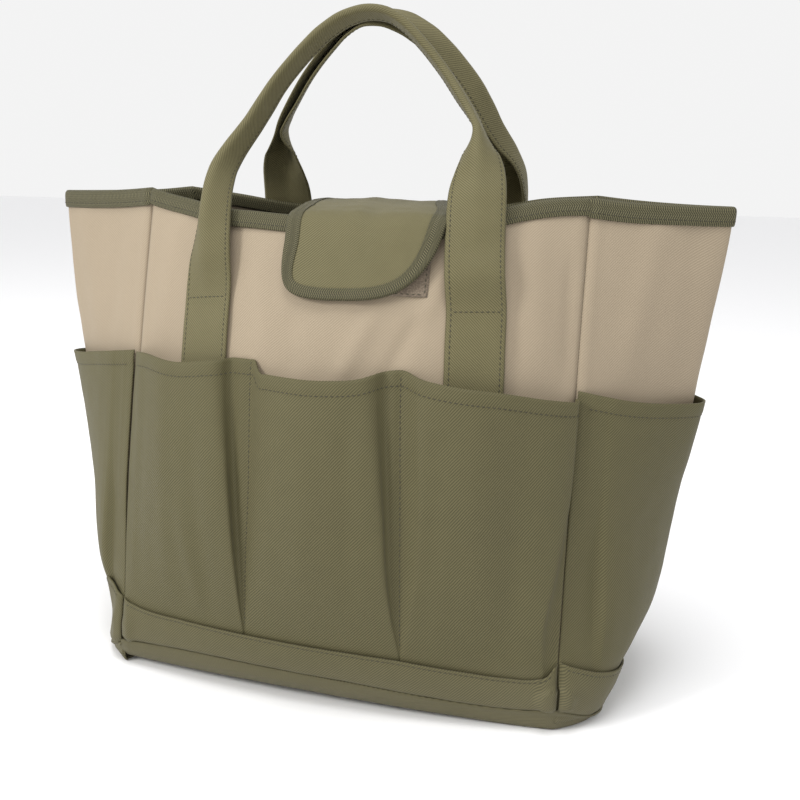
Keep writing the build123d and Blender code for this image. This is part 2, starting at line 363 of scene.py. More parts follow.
def newGroup(name, inputs, outputs):
    group = bpy.data.node_groups.new(name, "ShaderNodeTree")
    for label, kind, value in inputs:
        socket = group.interface.new_socket(name=label, in_out="INPUT", socket_type="NodeSocket" + kind)
        if value is not None:
            socket.default_value = value
    for label, kind in outputs:
        group.interface.new_socket(name=label, in_out="OUTPUT", socket_type="NodeSocket" + kind)
    given = addNode(group, "NodeGroupInput").outputs
    return group, given, addNode(group, "NodeGroupOutput"), partial(mathNode, group)


def makeTwillGroup():  # slanting ribs of coated oxford cloth, each broken into short yarns
    group, given, out, do = newGroup(
        "twillWeave",
        [("Vector", "Vector", None), ("Pitch", "Float", 0.0015), ("Unevenness", "Float", 0.25)],
        [("Height", "Float"), ("Shade", "Float")],
    )
    wobble = noiseNode(group, given["Vector"], 90.0, 2.0)
    x, y, _ = addNode(group, "ShaderNodeSeparateXYZ", {0: given["Vector"]}).outputs
    rise = do("DIVIDE", do("SUBTRACT", x, y), given["Pitch"])
    turns = do("MULTIPLY", rise, 0.7071 * 2 * math.pi)
    rib = do("SINE", do("ADD", turns, do("MULTIPLY", wobble, 2.5)))
    rib = do("MULTIPLY_ADD", rib, 0.5, 0.5)
    fall = do("DIVIDE", do("ADD", x, y), given["Pitch"])
    yarn = do("SINE", do("ADD", do("MULTIPLY", fall, 1.6 * 2 * math.pi), turns))
    yarn = do("MULTIPLY_ADD", yarn, 0.5, 0.5)
    height = do("MULTIPLY", rib, do("MULTIPLY_ADD", yarn, 0.35, 0.65))
    patchy = do("MULTIPLY", do("SUBTRACT", wobble, 0.5), given["Unevenness"])
    setInputs(group, out, {"Height": height, "Shade": do("ADD", height, patchy)})
    return group


def makeRibGroup():  # woven binding tape: ribs across it, in short herringbone runs
    group, given, out, do = newGroup(
        "ribbedTape",
        [("Vector", "Vector", None), ("Pitch", "Float", 0.0014)],
        [("Height", "Float")],
    )
    x, y, _ = addNode(group, "ShaderNodeSeparateXYZ", {0: given["Vector"]}).outputs
    slanted = do("ADD", x, do("MULTIPLY", do("PINGPONG", y, 0.003), 0.6))
    turns = do("MULTIPLY", do("DIVIDE", slanted, given["Pitch"]), 2 * math.pi)
    rib = do("MULTIPLY_ADD", do("SINE", turns), 0.5, 0.5)
    cross = do("SINE", do("MULTIPLY", y, 2 * math.pi / 0.0016))
    setInputs(group, out, {"Height": do("MULTIPLY", rib, do("MULTIPLY_ADD", cross, 0.15, 0.85))})
    return group


def makeWearGroup():  # handling marks, slight fading and dust, over the whole bag
    group, given, out, do = newGroup(
        "handledCloth",
        [("Vector", "Vector", None), ("Color", "Color", (0.5, 0.5, 0.5, 1)), ("Amount", "Float", 0.5)],
        [("Color", "Color"), ("Roughness", "Float"), ("Crinkle", "Float")],
    )
    broad = noiseNode(group, given["Vector"], 9.0, 3.0)
    fine = noiseNode(group, given["Vector"], 420.0, 2.0)
    crinkle = noiseNode(group, given["Vector"], 38.0, 4.0)
    tone = do("MULTIPLY", do("MULTIPLY_ADD", broad, 0.2, 0.9), do("MULTIPLY_ADD", fine, 0.16, 0.92))
    tone = do("ADD", do("MULTIPLY", do("SUBTRACT", tone, 1.0), given["Amount"]), 1.0)
    grey = addNode(group, "ShaderNodeCombineColor", {0: tone, 1: tone, 2: tone}).outputs[0]
    tint = mixNode(group, 1.0, given["Color"], grey, "MULTIPLY")
    height = addNode(group, "ShaderNodeSeparateXYZ", {0: given["Vector"]}).outputs[2]
    nearGround = {"Value": height, "From Min": 0.05, "From Max": 0.0}
    low = addNode(group, "ShaderNodeMapRange", nearGround).outputs[0]
    dusty = do("MULTIPLY", low, do("MULTIPLY", broad, 0.16))
    color = mixNode(group, dusty, tint, (0.34, 0.31, 0.25, 1))
    rough = do("MULTIPLY_ADD", broad, 0.2, 0.56)
    setInputs(group, out, {"Color": color, "Roughness": rough, "Crinkle": crinkle})
    return group


twillWeave = makeTwillGroup()
ribbedTape = makeRibGroup()
handledCloth = makeWearGroup()


def startMaterial(name):
    material = bpy.data.materials.new(name)
    material.use_nodes = True
    tree = material.node_tree
    tree.nodes.clear()
    surface = addNode(tree, "ShaderNodeBsdfPrincipled")
    addNode(tree, "ShaderNodeOutputMaterial", {"Surface": surface.outputs[0]})
    return material, tree, surface


def clothMaterial(name, look):
    material, tree, surface = startMaterial(name)
    lengths = addNode(tree, "ShaderNodeUVMap", uv_map="UVMap").outputs[0]
    place = addNode(tree, "ShaderNodeTexCoord").outputs["Object"]
    values = {"Vector": lengths, "Pitch": look["pitch"]}
    if look.get("tape"):
        weave = addNode(tree, "ShaderNodeGroup", values, node_tree=ribbedTape).outputs
        shade = weave["Height"]
    else:
        values["Unevenness"] = 0.12
        weave = addNode(tree, "ShaderNodeGroup", values, node_tree=twillWeave).outputs
        shade = weave["Shade"]
    color = mixNode(tree, shade, (*look["dark"], 1), (*look["light"], 1))
    values = {"Vector": place, "Color": color, "Amount": look["wear"]}
    wear = addNode(tree, "ShaderNodeGroup", values, node_tree=handledCloth).outputs
    values = {"Strength": look.get("crinkle", 0.05), "Distance": 0.0016, "Height": wear["Crinkle"]}
    crinkle = addNode(tree, "ShaderNodeBump", values).outputs["Normal"]
    values = {"Strength": look["bump"], "Distance": 0.0003, "Height": weave["Height"], "Normal": crinkle}
    bump = addNode(tree, "ShaderNodeBump", values).outputs["Normal"]
    setInputs(tree, surface, {
        "Base Color": wear["Color"], "Roughness": wear["Roughness"], "Normal": bump,
        "Sheen Weight": look.get("sheen", 0.04), "Sheen Roughness": 0.45,
        "Specular IOR Level": look.get("gloss", 0.25),
    })
    return material


tanCloth = clothMaterial("tanCloth", {
    "dark": (0.275, 0.222, 0.155), "light": (0.37, 0.30, 0.213),
    "pitch": 0.0014, "bump": 0.3, "sheen": 0.05, "wear": 0.3,
})
oliveCloth = clothMaterial("oliveCloth", {
    "dark": (0.060, 0.054, 0.024), "light": (0.142, 0.126, 0.060), "pitch": 0.0014, "bump": 0.45,
    "wear": 0.35,
})
# the olive cloth again, made lighter: painted light on the straps and the flap, which face up towards the
# lamps
oliveClothWithPaintedLight = clothMaterial("oliveClothWithPaintedLight", {
    "dark": (0.080, 0.071, 0.032), "light": (0.190, 0.168, 0.083), "pitch": 0.0013, "bump": 0.45,
    "wear": 0.4,
})
bindingTape = clothMaterial("bindingTape", {
    "dark": (0.02, 0.019, 0.010), "light": (0.165, 0.15, 0.078),
    "pitch": 0.0015, "bump": 1.0, "tape": True, "wear": 0.8, "crinkle": 0.1,
})
coatedInside = clothMaterial("coatedInside", {
    "dark": (0.12, 0.095, 0.06), "light": (0.17, 0.135, 0.09),
    "pitch": 0.0011, "bump": 0.15, "gloss": 0.5, "wear": 0.5,
})


def grainMaterial(name, look):  # thread, board, hook tape and loop tape
    material, tree, surface = startMaterial(name)
    place = addNode(tree, "ShaderNodeTexCoord").outputs["Object"]
    values = {"Vector": place, "Scale": look["scale"]}
    grain = addNode(tree, look["texture"], values).outputs[look["output"]]
    factor = mathNode(tree, "MULTIPLY", grain, look["contrast"])
    color = mixNode(tree, factor, (*look["low"], 1), (*look["high"], 1))
    values = {"Distance": look["depth"], "Height": grain}
    bump = addNode(tree, "ShaderNodeBump", values, invert=look["sunken"]).outputs["Normal"]
    values = {"Roughness": look["rough"], "Sheen Weight": look["sheen"]}
    setInputs(tree, surface, {"Base Color": color, "Normal": bump, **values})
    return material


noisy = {"texture": "ShaderNodeTexNoise", "output": "Fac", "contrast": 1.0, "sunken": False, "sheen": 0.0}
piled = {
    "texture": "ShaderNodeTexVoronoi", "output": "Distance", "contrast": 1.4, "sunken": True,
    "sheen": 0.3,
    "scale": 900.0, "rough": 0.8,
}
# dark olive thread: partly its own darker colour, partly painted shade of the holes the thread sinks into
threadWithPaintedShade = grainMaterial("threadWithPaintedShade", {
    **noisy, "scale": 900.0, "rough": 0.6, "depth": 0.0002,
    "low": (0.022, 0.019, 0.010), "high": (0.062, 0.055, 0.028),
})
stiffenerBoard = grainMaterial("stiffenerBoard", {
    **noisy, "scale": 600.0, "rough": 0.5, "depth": 0.0001,
    "low": (0.012, 0.012, 0.012), "high": (0.03, 0.03, 0.028),
})
hookTape = grainMaterial("hookTape", {
    **piled, "depth": 0.0006, "low": (0.12, 0.10, 0.065), "high": (0.04, 0.033, 0.02),
})
loopTape = grainMaterial("loopTape", {
    **piled, "depth": 0.0003, "low": (0.26, 0.20, 0.14), "high": (0.13, 0.10, 0.068),
})
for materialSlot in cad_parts["base_board"].material_slots:
    materialSlot.material = stiffenerBoard
print("stage: materials")

# walls
rimLine = {
    "front": [(-155, 336.5), (-141, 333.5), (-120, 330), (-98, 326.2), (-85, 324.4), (-65, 323.4),
              (-44, 322.2),
              (0, 320.5), (40, 320), (69, 321), (88, 325.5), (109, 331.5), (135, 336), (155, 337)],
    "back": [(-155, 337), (-120, 332), (-83, 326), (-40, 324), (0, 324), (40, 325), (83, 328), (118, 334),
             (155, 337)],
    "side": [(0, 337), (0.12, 334.5), (0.3, 333.2), (0.5, 332.6), (0.7, 333.2), (0.88, 335), (1, 337)],
}


def roundTable(s, front, back, side):  # one curve for the front, one for the back, one for both sides
    s = np.mod(np.asarray(s, float), 4.0)
    quarter = np.floor(s).astype(int)
    t = s - quarter
    x = bag["halfWidth"] * (2 * t - 1)
    sideValue = through(t, side)
    return np.where(quarter == 0, through(x, front), np.where(quarter == 2, through(-x, back), sideValue))


def rimTop(s):
    return roundTable(s, rimLine["front"], rimLine["back"], rimLine["side"])


def cornerAway(s):  # millimetres along the wall from the nearest corner seam
    length = np.where(np.floor(np.mod(s, 2.0)) == 0, bag["frontWidth"], bag["sideLength"])
    return np.abs(s - np.round(s)) * length


def seamDip(s, depth=1.5):  # the corner seams draw the cloth in
    away = cornerAway(s)
    return -depth * np.exp(-((away / 2.6) ** 2)) + 0.5 * np.exp(-(((away - 5.5) / 3.5) ** 2))


panels = {
    "foot": 13.0,
    "belowRim": 1.2,
    "waves": ((1.3, 62.0, 0), (0.4, 23.0, 5)),
    "rows": 96,
    # folds: where each starts and ends, its width and its height
    "frontFolds": [
        ((28, 268), (8, 222), 7.0, 2.21), ((55, 262), (38, 226), 5.0, -1.7),
        ((70, 300), (60, 262), 6.0, 1.7),
        ((-60, 300), (-46, 235), 9.0, 2.04), ((-30, 262), (-22, 226), 8.0, -1.36),
        ((122, 320), (132, 232), 9.0, 1.7), ((-126, 318), (-132, 236), 10.0, 1.87),
        ((112, 300), (118, 236), 4.0, -1.19), ((146, 300), (149, 225), 4.0, -2.04),
    ],
    "sideFolds": [
        ((51.6, 330), (36.55, 225), 10.75, 1.2), ((77.4, 322), (86.0, 226), 10.75, -1.0),
        ((133.3, 326), (150.5, 225), 12.9, 1.2), ((180.6, 322), (172.0, 226), 10.75, -0.9),
    ],
}
panels["backFolds"] = [(start, end, width, -height) for start, end, width,
                       height in panels["frontFolds"][3:]]


def wallPlace(side, folds, seed):
    def place(u, v):
        t = np.clip(u, 0.0, 1.0)
        inside = side + 0.0002 + 0.9996 * t  # just off the seam
        z = panels["foot"] + (rimTop(inside) - panels["belowRim"] - panels["foot"]) * v
        across = bag["halfWidth"] * (2 * t - 1) if side % 2 == 0 else t * bag["sideLength"]
        fade = np.sin(np.pi * t) ** 0.5 * smoothStep(12, 60, z) * (1 - 0.7 * smoothStep(300, 330, z))
        out = -0.2 + seamDip(side + t) + fade * rumples(across, z, seed, panels["waves"])
        for start, end, width, height in folds:
            out = out + softFold(across, z, start, end, width, height)
        return wall(inside, z, out)

    return place


for name, side, folds, columns, seed in (
    ("frontPanel", 0, "frontFolds", 110, 1.0), ("rightGusset", 1, "sideFolds", 84, 2.0),
    ("backPanel", 2, "backFolds", 110, 3.0), ("leftGusset", 3, "sideFolds", 84, 4.0),
):
    place = wallPlace(side, panels[folds], seed)
    piece = clothSheet(name, columns, panels["rows"], place, bag["wallCloth"], tanCloth, coatedInside)
    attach(piece, "bag")
    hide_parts(name.replace("Panel", "_panel").replace("Gusset", "_gusset"))
print("stage: walls")

# base
base = {
    "seamFront": [(-155, 18.0), (-140, 19.5), (-100, 22.5), (-40, 23.0), (20, 21.5), (88, 16.5),
                  (125, 14.5),
                  (155, 15.0)],
    "seamBack": [(-155, 16.0), (-100, 20.0), (0, 22.0), (100, 20.0), (155, 16.0)],
    "seamSide": [(0, 15.5), (0.04, 11.0), (0.09, 6.0), (0.16, 3.2), (0.3, 2.0), (0.7, 2.0), (0.84, 3.2),
                 (0.91, 6.0), (0.96, 11.0), (1, 15.5)],
    "bandFront": [(-155, 49.0), (-141, 46.5), (-101, 46.0), (-57, 46.0), (0, 45.3), (54, 43.3),
                  (88, 39.8),
                  (125, 36.5), (140, 36.3), (148, 38.5), (155, 47.0)],
    "bandBack": [(-155, 47.5), (-145, 44.0), (-100, 43.5), (0, 44.5), (100, 43.5), (145, 44.0),
                 (155, 47.5)],
    "bandLeft": [(0, 47.0), (0.1, 40.0), (0.28, 34.0), (0.5, 37.0), (0.7, 47.0), (0.86, 55.5),
                 (0.95, 54.5),
                 (1, 49.0)],
    "bandSide": [(0, 47.0), (0.04, 43.5), (0.1, 38.5), (0.18, 34.5), (0.28, 32.0), (0.4, 32.0),
                 (0.5, 33.0),
                 (0.6, 32.0), (0.72, 32.0), (0.82, 34.5), (0.9, 38.5), (0.96, 43.5), (1, 47.0)],
    # how wide the front edge is rounded where it meets the ground
    "contact": [(-155, 19.5), (-115, 20.2), (-69, 22.9), (-23, 24.2), (51, 16.7), (86, 12.8), (125, 6.0),
                (155, 2.5)],
    # share of the way out from the middle, distance from the wall, share of the seam's height
    "edge": [(0.0, -70.0, 0.0), (0.55, -40.0, 0.0), (0.72, -22.0, 0.0), (0.80, -12.0, 0.05),
             (0.87, -4.0, 0.24), (0.93, 1.6, 0.6), (1.0, 3.0, 1.0)],
    "waves": ((0.35, 26.0, 0), (0.22, 9.0, 3)),
    "floorCloth": 1.2,
}


def seamZ(s):
    return roundTable(s, base["seamFront"], base["seamBack"], base["seamSide"])


def bandZ(s):
    usual = roundTable(s, base["bandFront"], base["bandBack"], base["bandSide"])
    s = np.mod(np.asarray(s, float), 4.0)
    return np.where(s > 3, through(s - 3, base["bandLeft"]), usual)


def baseShape(s, z):  # dent above each base corner, and the ear that stands out under it
    away = cornerAway(s)
    corner = np.round(np.mod(s, 4.0))
    right = (corner == 1) | (corner == 3)
    size = np.hypot(away / np.where(np.floor(np.mod(s, 2.0)) == 0, 13.5, 8.0), (z - 22.5) / 9.0)
    ear = np.where(right, 2.6 * (1 - smoothStep(0.86, 1.06, size)), 0.0)
    fold = 1.4 * np.exp(-(((away - 8.0) / 3.0) ** 2)) * (1 - smoothStep(30, 45, z))
    return ear + np.where(right, 0.0, fold) - 0.9 * np.exp(-((away / 9.0) ** 2)) * smoothStep(30, 36, z)


def bandPlace(side, seed):
    def place(u, v):
        s = side + 0.002 + 0.996 * np.clip(u, 0.0, 1.0)
        low, top = seamZ(s) - 0.6, bandZ(s)
        z = low + (top - low) * v
        middle = np.sin(np.pi * np.clip(v, 0, 1))
        out = 3.8 + 0.8 * middle + 0.5 * v + baseShape(s, z) + seamDip(s, 2.0)
        out = out - 2.2 * (1 - smoothStep(0.0, 0.14, v))  # drawn in at the bottom seam
        out = out + rumples(bag["frontWidth"] * u, z, seed, base["waves"])
        out = out - 0.35 * np.exp(-(((top - z - 2.4) / 0.9) ** 2))  # the stitched line
        return wall(s, z, out)

    return place


bandRows = []
for name, side, columns, seed in (
    ("frontBaseBand", 0, 130, 11.0), ("rightBaseBand", 1, 90, 12.0),
    ("backBaseBand", 2, 130, 13.0), ("leftBaseBand", 3, 90, 14.0),
):
    place = bandPlace(side, seed)
    piece = clothSheet(name, columns, 22, place, bag["bandCloth"], oliveCloth)
    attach(piece, "bag")
    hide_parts(name.replace("BaseBand", "_base_band"))
    bandRows.append(rowOn(place, (0.012, 0.988), (0.915, 0.915), 160, 0.1))


def bottomPlace(u, v):  # from the middle of the floor out, and up the rounded edge to the seam
    s = 4.0 * np.clip(u, 0, 1)
    part = np.mod(s, 1.0)
    contact = through(bag["halfWidth"] * (2 * (s - np.floor(s)) - 1), base["contact"])
    contact = np.where(np.floor(s) == 0, contact, 20.0)
    sideways = 3.0 + 3.0 * smoothStep(0.05, 0.3, np.abs(part - np.round(part)))
    roundness = np.where(np.floor(np.mod(s, 2.0)) == 0, contact, sideways) / 22.0
    stations, outs, lifts = zip(*base["edge"])
    spread = np.where(v > 0.6, roundness + (1 - roundness) * smoothStep(0.93, 1.0, v), 1.0)
    out = np.interp(v, stations, outs) * spread + 0.4 * rumple(s * 260, v * 60, 20.0, 21.0)
    z = np.interp(v, stations, lifts) * seamZ(s) + 1.3 * (1 - smoothStep(0.56, 0.68, v))
    spots = wall(s, np.maximum(z, 8.0), out)
    inner = np.where(v < 0.55, np.clip(v / 0.55, 0, 1), 1.0)  # the floor runs in to the middle
    spots[:, :2] *= inner[:, None]
    spots[:, 2] = z
    return spots


bottomPanel = clothSheet("bottomPanel", 220, 40, bottomPlace, base["floorCloth"], oliveCloth, closed=True)
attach(bottomPanel, "bag")
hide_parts("bottom_panel")
print("stage: base")

# pockets
pocket = {
    "heights": [14.0, 45.0, 72.0, 98.0, 145.0, 224.0],
    # each control point of the strip: its x at those heights, then how far it stands off the wall
    "strip": [
        ((-154.6, -154.6, -154.6, -154.6, -154.6, -154.6), (0.6, 0.8, 1.4, 2.4, 3.4, 3.4)),
        ((-153, -152, -151.5, -151, -150.5, -152), (1.4, 1.6, 2.2, 3.0, 4.2, 5.0)),
        ((-147, -146, -144, -143, -142, -146), (1.6, 2.0, 4.0, 6.0, 8.5, 10.0)),
        ((-120, -120, -120, -120, -120, -124), (1.6, 2.0, 5.0, 8.0, 11.5, 14.0)),
        ((-90, -90, -90, -90, -94, -102), (1.6, 2.0, 5.4, 8.8, 12.4, 15.5)),
        ((-70, -70, -68, -67, -72, -86), (1.6, 2.0, 5.2, 8.4, 12.0, 15.0)),
        ((-57, -57, -58.5, -60, -64.5, -77), (1.6, 2.0, 5.0, 8.0, 11.2, 13.4)),
        ((-53.5, -53.5, -54.8, -56.3, -60.2, -72), (1.5, 1.8, 4.6, 7.2, 9.2, 9.4)),
        ((-53, -53, -55, -56.8, -60.6, -69.6), (1.2, 1.3, 2.2, 3.2, 4.4, 4.4)),
        ((-52.6, -52.6, -53.8, -55, -58.8, -66.4), (1.0, 1.0, 0.7, 0.7, 0.8, 0.8)),
        ((-52.4, -52.4, -52.6, -52.8, -53.8, -59), (0.9, 0.9, 0.8, 1.0, 1.8, 2.4)),
        ((-52.2, -52.2, -51.2, -50.4, -48.8, -52.4), (0.9, 0.9, 0.6, 0.6, 0.6, 0.7)),
        ((-51.6, -51.6, -49.4, -47.6, -44.6, -48.2), (1.1, 1.2, 1.6, 2.0, 2.6, 3.0)),
        ((-48, -48, -43, -40, -37, -40), (1.4, 1.8, 3.4, 4.8, 6.4, 8.2)),
        ((-35, -35, -31, -28, -25, -25), (1.6, 2.0, 4.8, 7.6, 10.2, 12.6)),
        ((0, 0, 0, 0, 0, -2), (1.6, 2.0, 5.2, 8.8, 12.8, 15.6)),
        ((30, 30, 28, 27, 24, 17), (1.6, 2.0, 5.0, 8.4, 12.0, 14.6)),
        ((50, 50, 46.5, 44, 40, 28.5), (1.6, 2.0, 4.8, 7.8, 10.8, 12.8)),
        ((54.6, 54.6, 50.8, 47.8, 44.2, 34), (1.4, 1.8, 4.4, 6.8, 8.8, 9.0)),
        ((55, 55, 50.6, 47.4, 43.8, 36.4), (1.2, 1.3, 2.2, 3.2, 4.2, 4.4)),
        ((55.3, 55.3, 52, 48.8, 45.6, 39), (1.0, 1.0, 0.7, 0.7, 0.8, 0.8)),
        ((55.5, 55.5, 53.6, 51.4, 49.2, 44), (0.9, 0.9, 0.8, 1.0, 1.8, 2.2)),
        ((55.7, 55.7, 55.2, 54.8, 53.4, 48.8), (0.9, 0.9, 0.6, 0.6, 0.6, 0.7)),
        ((56, 56, 57.4, 58.6, 57.8, 52.4), (1.1, 1.2, 1.4, 1.8, 2.2, 2.2)),
        ((57, 57, 60.4, 63, 64, 56.6), (1.3, 1.6, 2.8, 4.4, 5.8, 5.2)),
        ((60, 60, 62.6, 66.4, 67.6, 63), (1.5, 2.0, 4.6, 7.2, 9.2, 9.2)),
        ((80, 80, 84, 86, 87, 84), (1.6, 2.0, 5.2, 8.4, 12.2, 14.2)),
        ((112, 112, 112, 112, 112, 112), (1.6, 2.0, 5.2, 8.6, 12.6, 15.6)),
        ((132, 132, 133, 135, 138, 138), (1.6, 3.4, 8.0, 10.0, 12.2, 14.4)),
        ((143, 142.5, 142.5, 145.5, 150, 152.5), (1.6, 3.6, 9.0, 10.4, 11.4, 12.0)),
        ((146.5, 146, 145.8, 149.6, 155, 157), (1.5, 3.4, 9.0, 9.6, 9.0, 8.6)),
        ((148, 147.4, 146.6, 150.2, 155.6, 157.6), (1.2, 2.0, 5.0, 5.6, 5.0, 5.2)),
        ((151.6, 150.8, 150.0, 152.0, 155, 156), (0.8, 0.8, 1.4, 1.6, 1.4, 1.8)),
        ((154.7, 154.7, 154.7, 154.8, 154.9, 154.9), (0.5, 0.5, 0.4, 0.3, 0.3, 0.3)),
    ],
    "waves": ((1.0, 48.0, 0), (0.45, 17.0, 3)),
    "foot": 15.0,
    "mouth": [(-155, 224.5), (-148, 226), (-105, 226.5), (-78, 230.5), (-66, 231.5), (-54, 231.5),
              (-49.5, 230.8), (-47, 227), (-44, 224.6), (-38, 224.8), (5, 225.3), (24, 227),
              (36, 230), (50, 231.5), (60, 228.5), (78, 225.5), (112, 221.5), (140, 216.5), (155, 214)],
}


def stripSpot(u, z):  # soft curve along the control points at height z
    strip = pocket["strip"]
    last = len(strip) - 1
    along = np.clip(u, 0, 1) * last
    i = np.clip(np.round(along).astype(int), 1, last - 1)
    t = along - i + 0.5
    a, b, c = 0.5 * (1 - t) ** 2, 0.5 + t * (1 - t), 0.5 * t * t
    n = np.arange(len(u))
    result = []
    for k in range(2):
        values = np.array([through(z, list(zip(pocket["heights"], p[k]))) for p in strip])
        curve = a * values[i - 1, n] + b * values[i, n] + c * values[i + 1, n]
        startLine = values[0, n] + (values[1, n] - values[0, n]) * along
        stopLine = values[-1, n] + (values[-2, n] - values[-1, n]) * (last - along)
        result.append(np.where(along < 0.5, startLine, np.where(along > last - 0.5, stopLine, curve)))
    return result


pocketFolds = [
    ((-120, 222), (-112, 62), 9.0, 1.7), ((-94, 205), (-78, 58), 7.0, -1.5),
    ((-100, 130), (-84, 56), 6.0, 1.3), ((-138, 215), (-140, 70), 6.0, -1.2),
    ((-14, 215), (-6, 70), 12.0, 1.3), ((20, 205), (24, 90), 7.0, -1.0),
    ((98, 215), (110, 60), 12.0, 1.5), ((78, 190), (72, 64), 8.0, -1.3),
    ((128, 205), (124, 60), 8.0, -1.0),
]


hem = {"stitched": 9.6, "thick": (11.5, 9.0)}  # millimetres below the mouth


def hemStep(below, raised, groove):  # the turned-in edge, and the line it is stitched along
    line = np.exp(-((below - hem["stitched"]) ** 2))
    return raised * smoothStep(*hem["thick"], below) - 0.5 * groove * line


def stripPlace(u, v):
    topX, _ = stripSpot(u, np.full_like(u, pocket["heights"][-1]))
    top = through(topX, pocket["mouth"])
    z = pocket["foot"] + (top - pocket["foot"]) * v
    x, out = stripSpot(u, z)
    lively = smoothStep(50, 110, z) * smoothStep(0, 6, out)
    for start, end, width, height in pocketFolds:
        out = out + smoothStep(0.5, 5, out) * softFold(x, z, start, end, width, height)
    out = out + lively * rumples(x, z, 31.0, pocket["waves"])
    out = np.maximum(out + hemStep(top - z, 0.55, smoothStep(0, 3, out)), 0.3)
    return np.stack([x, -(panelY(x, z) + out), z], axis=1)


frontPockets = clothSheet("frontPockets", 264, 84, stripPlace, bag["pocketCloth"], oliveCloth)
backPockets = halfTurnCopy(frontPockets, "backPockets")
for piece, side in ((frontPockets, "front"), (backPockets, "back")):
    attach(piece, "bag")
    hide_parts(f"{side}_left_pocket", f"{side}_centre_pocket", f"{side}_right_pocket")

sidePocket = {
    "foot": 6.0,
    "waves": ((0.9, 45.0, 0), (0.4, 16.0, 3)),
    "stations": [0.0, 0.02, 0.05, 0.092, 0.1, 0.112, 0.14, 0.2, 0.32, 0.44, 0.5, 0.56, 0.68, 0.8, 0.86,
                 0.888, 0.9, 0.908, 0.95, 0.98, 1.0],
    "outs": [
        (0.5, 0.5, 0.5, 0.5, 0.5, 0.5), (0.9, 0.9, 0.9, 1.0, 1.6, 2.2), (1.2, 1.2, 1.2, 1.6, 3.2, 4.6),
        (1.0, 0.8, 0.8, 1.2, 4.4, 6.4),
        (1.3, 1.6, 4.6, 5.0, 5.6, 7.0), (1.6, 3.0, 7.0, 7.4, 6.8, 7.5), (1.8, 3.2, 7.4, 8.0, 7.4, 8.0),
        (1.8, 2.8, 6.4, 7.4, 7.8, 8.6),
        (1.8, 2.4, 4.6, 5.6, 7.2, 8.6), (1.8, 2.2, 4.2, 5.0, 6.4, 8.4), (1.8, 2.0, 3.8, 4.4, 5.6, 8.2),
    ],
    "mouthRight": [(0, 219), (0.06, 216.5), (0.2, 211), (0.35, 207.5), (0.5, 205.5), (0.65, 208),
                   (0.8, 213), (1, 221)],
    "mouthLeft": [(0, 221), (0.2, 214), (0.35, 209), (0.5, 210), (0.65, 213.5), (0.8, 219), (0.94, 223.5),
                  (1, 225.5)],
}
sidePocket["outs"] = sidePocket["outs"] + sidePocket["outs"][-2::-1]


def sidePlace(side, mouthTable, seed):
    stations = np.array(sidePocket["stations"])

    def place(u, v):
        t = np.clip(u, 0, 1)
        top = through(t, mouthTable)
        z = sidePocket["foot"] + (top - sidePocket["foot"]) * v
        table = np.array([through(z, list(zip(pocket["heights"], p))) for p in sidePocket["outs"]])
        i = np.clip(np.searchsorted(stations, t, side="right") - 1, 0, len(stations) - 2)
        f = (t - stations[i]) / (stations[i + 1] - stations[i])
        f = f * f * (3 - 2 * f) * 0.5 + f * 0.5
        n = np.arange(len(t))
        out = table[i, n] * (1 - f) + table[i + 1, n] * f
        inner = np.sin(np.pi * t) ** 0.6
        across = t * bag["sideLength"]
        if side == 3:  # stands out more beside the front pockets
            out = out + 2.8 * smoothStep(60, 140,
                                         z) * np.exp(-(((1 - t) * bag["sideLength"] / 10.0) ** 2))
        out = out + inner * smoothStep(50, 110, z) * rumples(across, z, seed, sidePocket["waves"])
        out = out + hemStep(top - z, 0.5, inner)
        return wall(side + 0.001 + 0.998 * t, z, np.maximum(out, 0.2))

    return place


pocketRows = []
for name, side, mouth, seed in (("rightPocket", 1, "mouthRight", 41.0),
                                ("leftPocket", 3, "mouthLeft", 42.0)):
    place = sidePlace(side, sidePocket[mouth], seed)
    piece = clothSheet(name, 150, 80, place, bag["pocketCloth"], oliveCloth)
    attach(piece, "bag")
    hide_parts(name.replace("Pocket", "_pocket"))
    height = 1 - hem["stitched"] / 205.0
    pocketRows.append(rowOn(place, (0.03, 0.97), (height, height), 240, 0.15))

height = 1 - hem["stitched"] / 212.0
frontRows = [rowOn(stripPlace, (0.035, 0.965), (height, height), 700, 0.15)]
for control in (11, 22):  # the control points in the middle of the two dividing pleats
    u = control / (len(pocket["strip"]) - 1)
    frontRows.append(rowOn(stripPlace, (u, u), (0.17, 0.995), 200, 0.1))
print("stage: pockets")

# rim binding
binding = {
    # out from the wall, up from the rim: down the outside first, then over and inside
    "path": [(0.6, -12.2), (0.95, -11.4), (1.1, -8.5), (1.1, -4.5), (1.0, -1.8), (0.5, -0.2), (-0.4, 0.6),
             (-1.2, 0.6), (-2.0, 0.0),
             (-2.5, -1.6), (-2.6, -5.0), (-2.6, -9.0), (-2.5, -11.2)],
    "cloth": 0.9,
}


def bindingPlace(u, v):
    s = 4.0 * u
    out = alongTable(v, binding["path"], 0)
    drop = alongTable(v, binding["path"], 1)
    length = s * 250
    wave = 0.35 * rumple(length, v * 8, 14.0, 51.0) + 0.5 * rumple(length, v * 2, 45.0, 52.0)
    top = rimTop(s) + 0.9
    flat = np.floor(np.mod(s, 2.0)) == 0
    drop = drop * np.where(flat, 0.76, 0.9)
    return wall(s, top + drop, out + wave * (v < 0.5) + seamDip(s, 0.7))


rimBinding = clothSheet("rimBinding", 520, 18, bindingPlace, binding["cloth"], bindingTape, closed=True,
                        offset=1.0)
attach(rimBinding, "bag")
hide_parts("rim_binding")
rimRow = rowOn(bindingPlace, (0.0005, 0.9995), (0.155, 0.155), 1400, binding["cloth"] + 0.05)

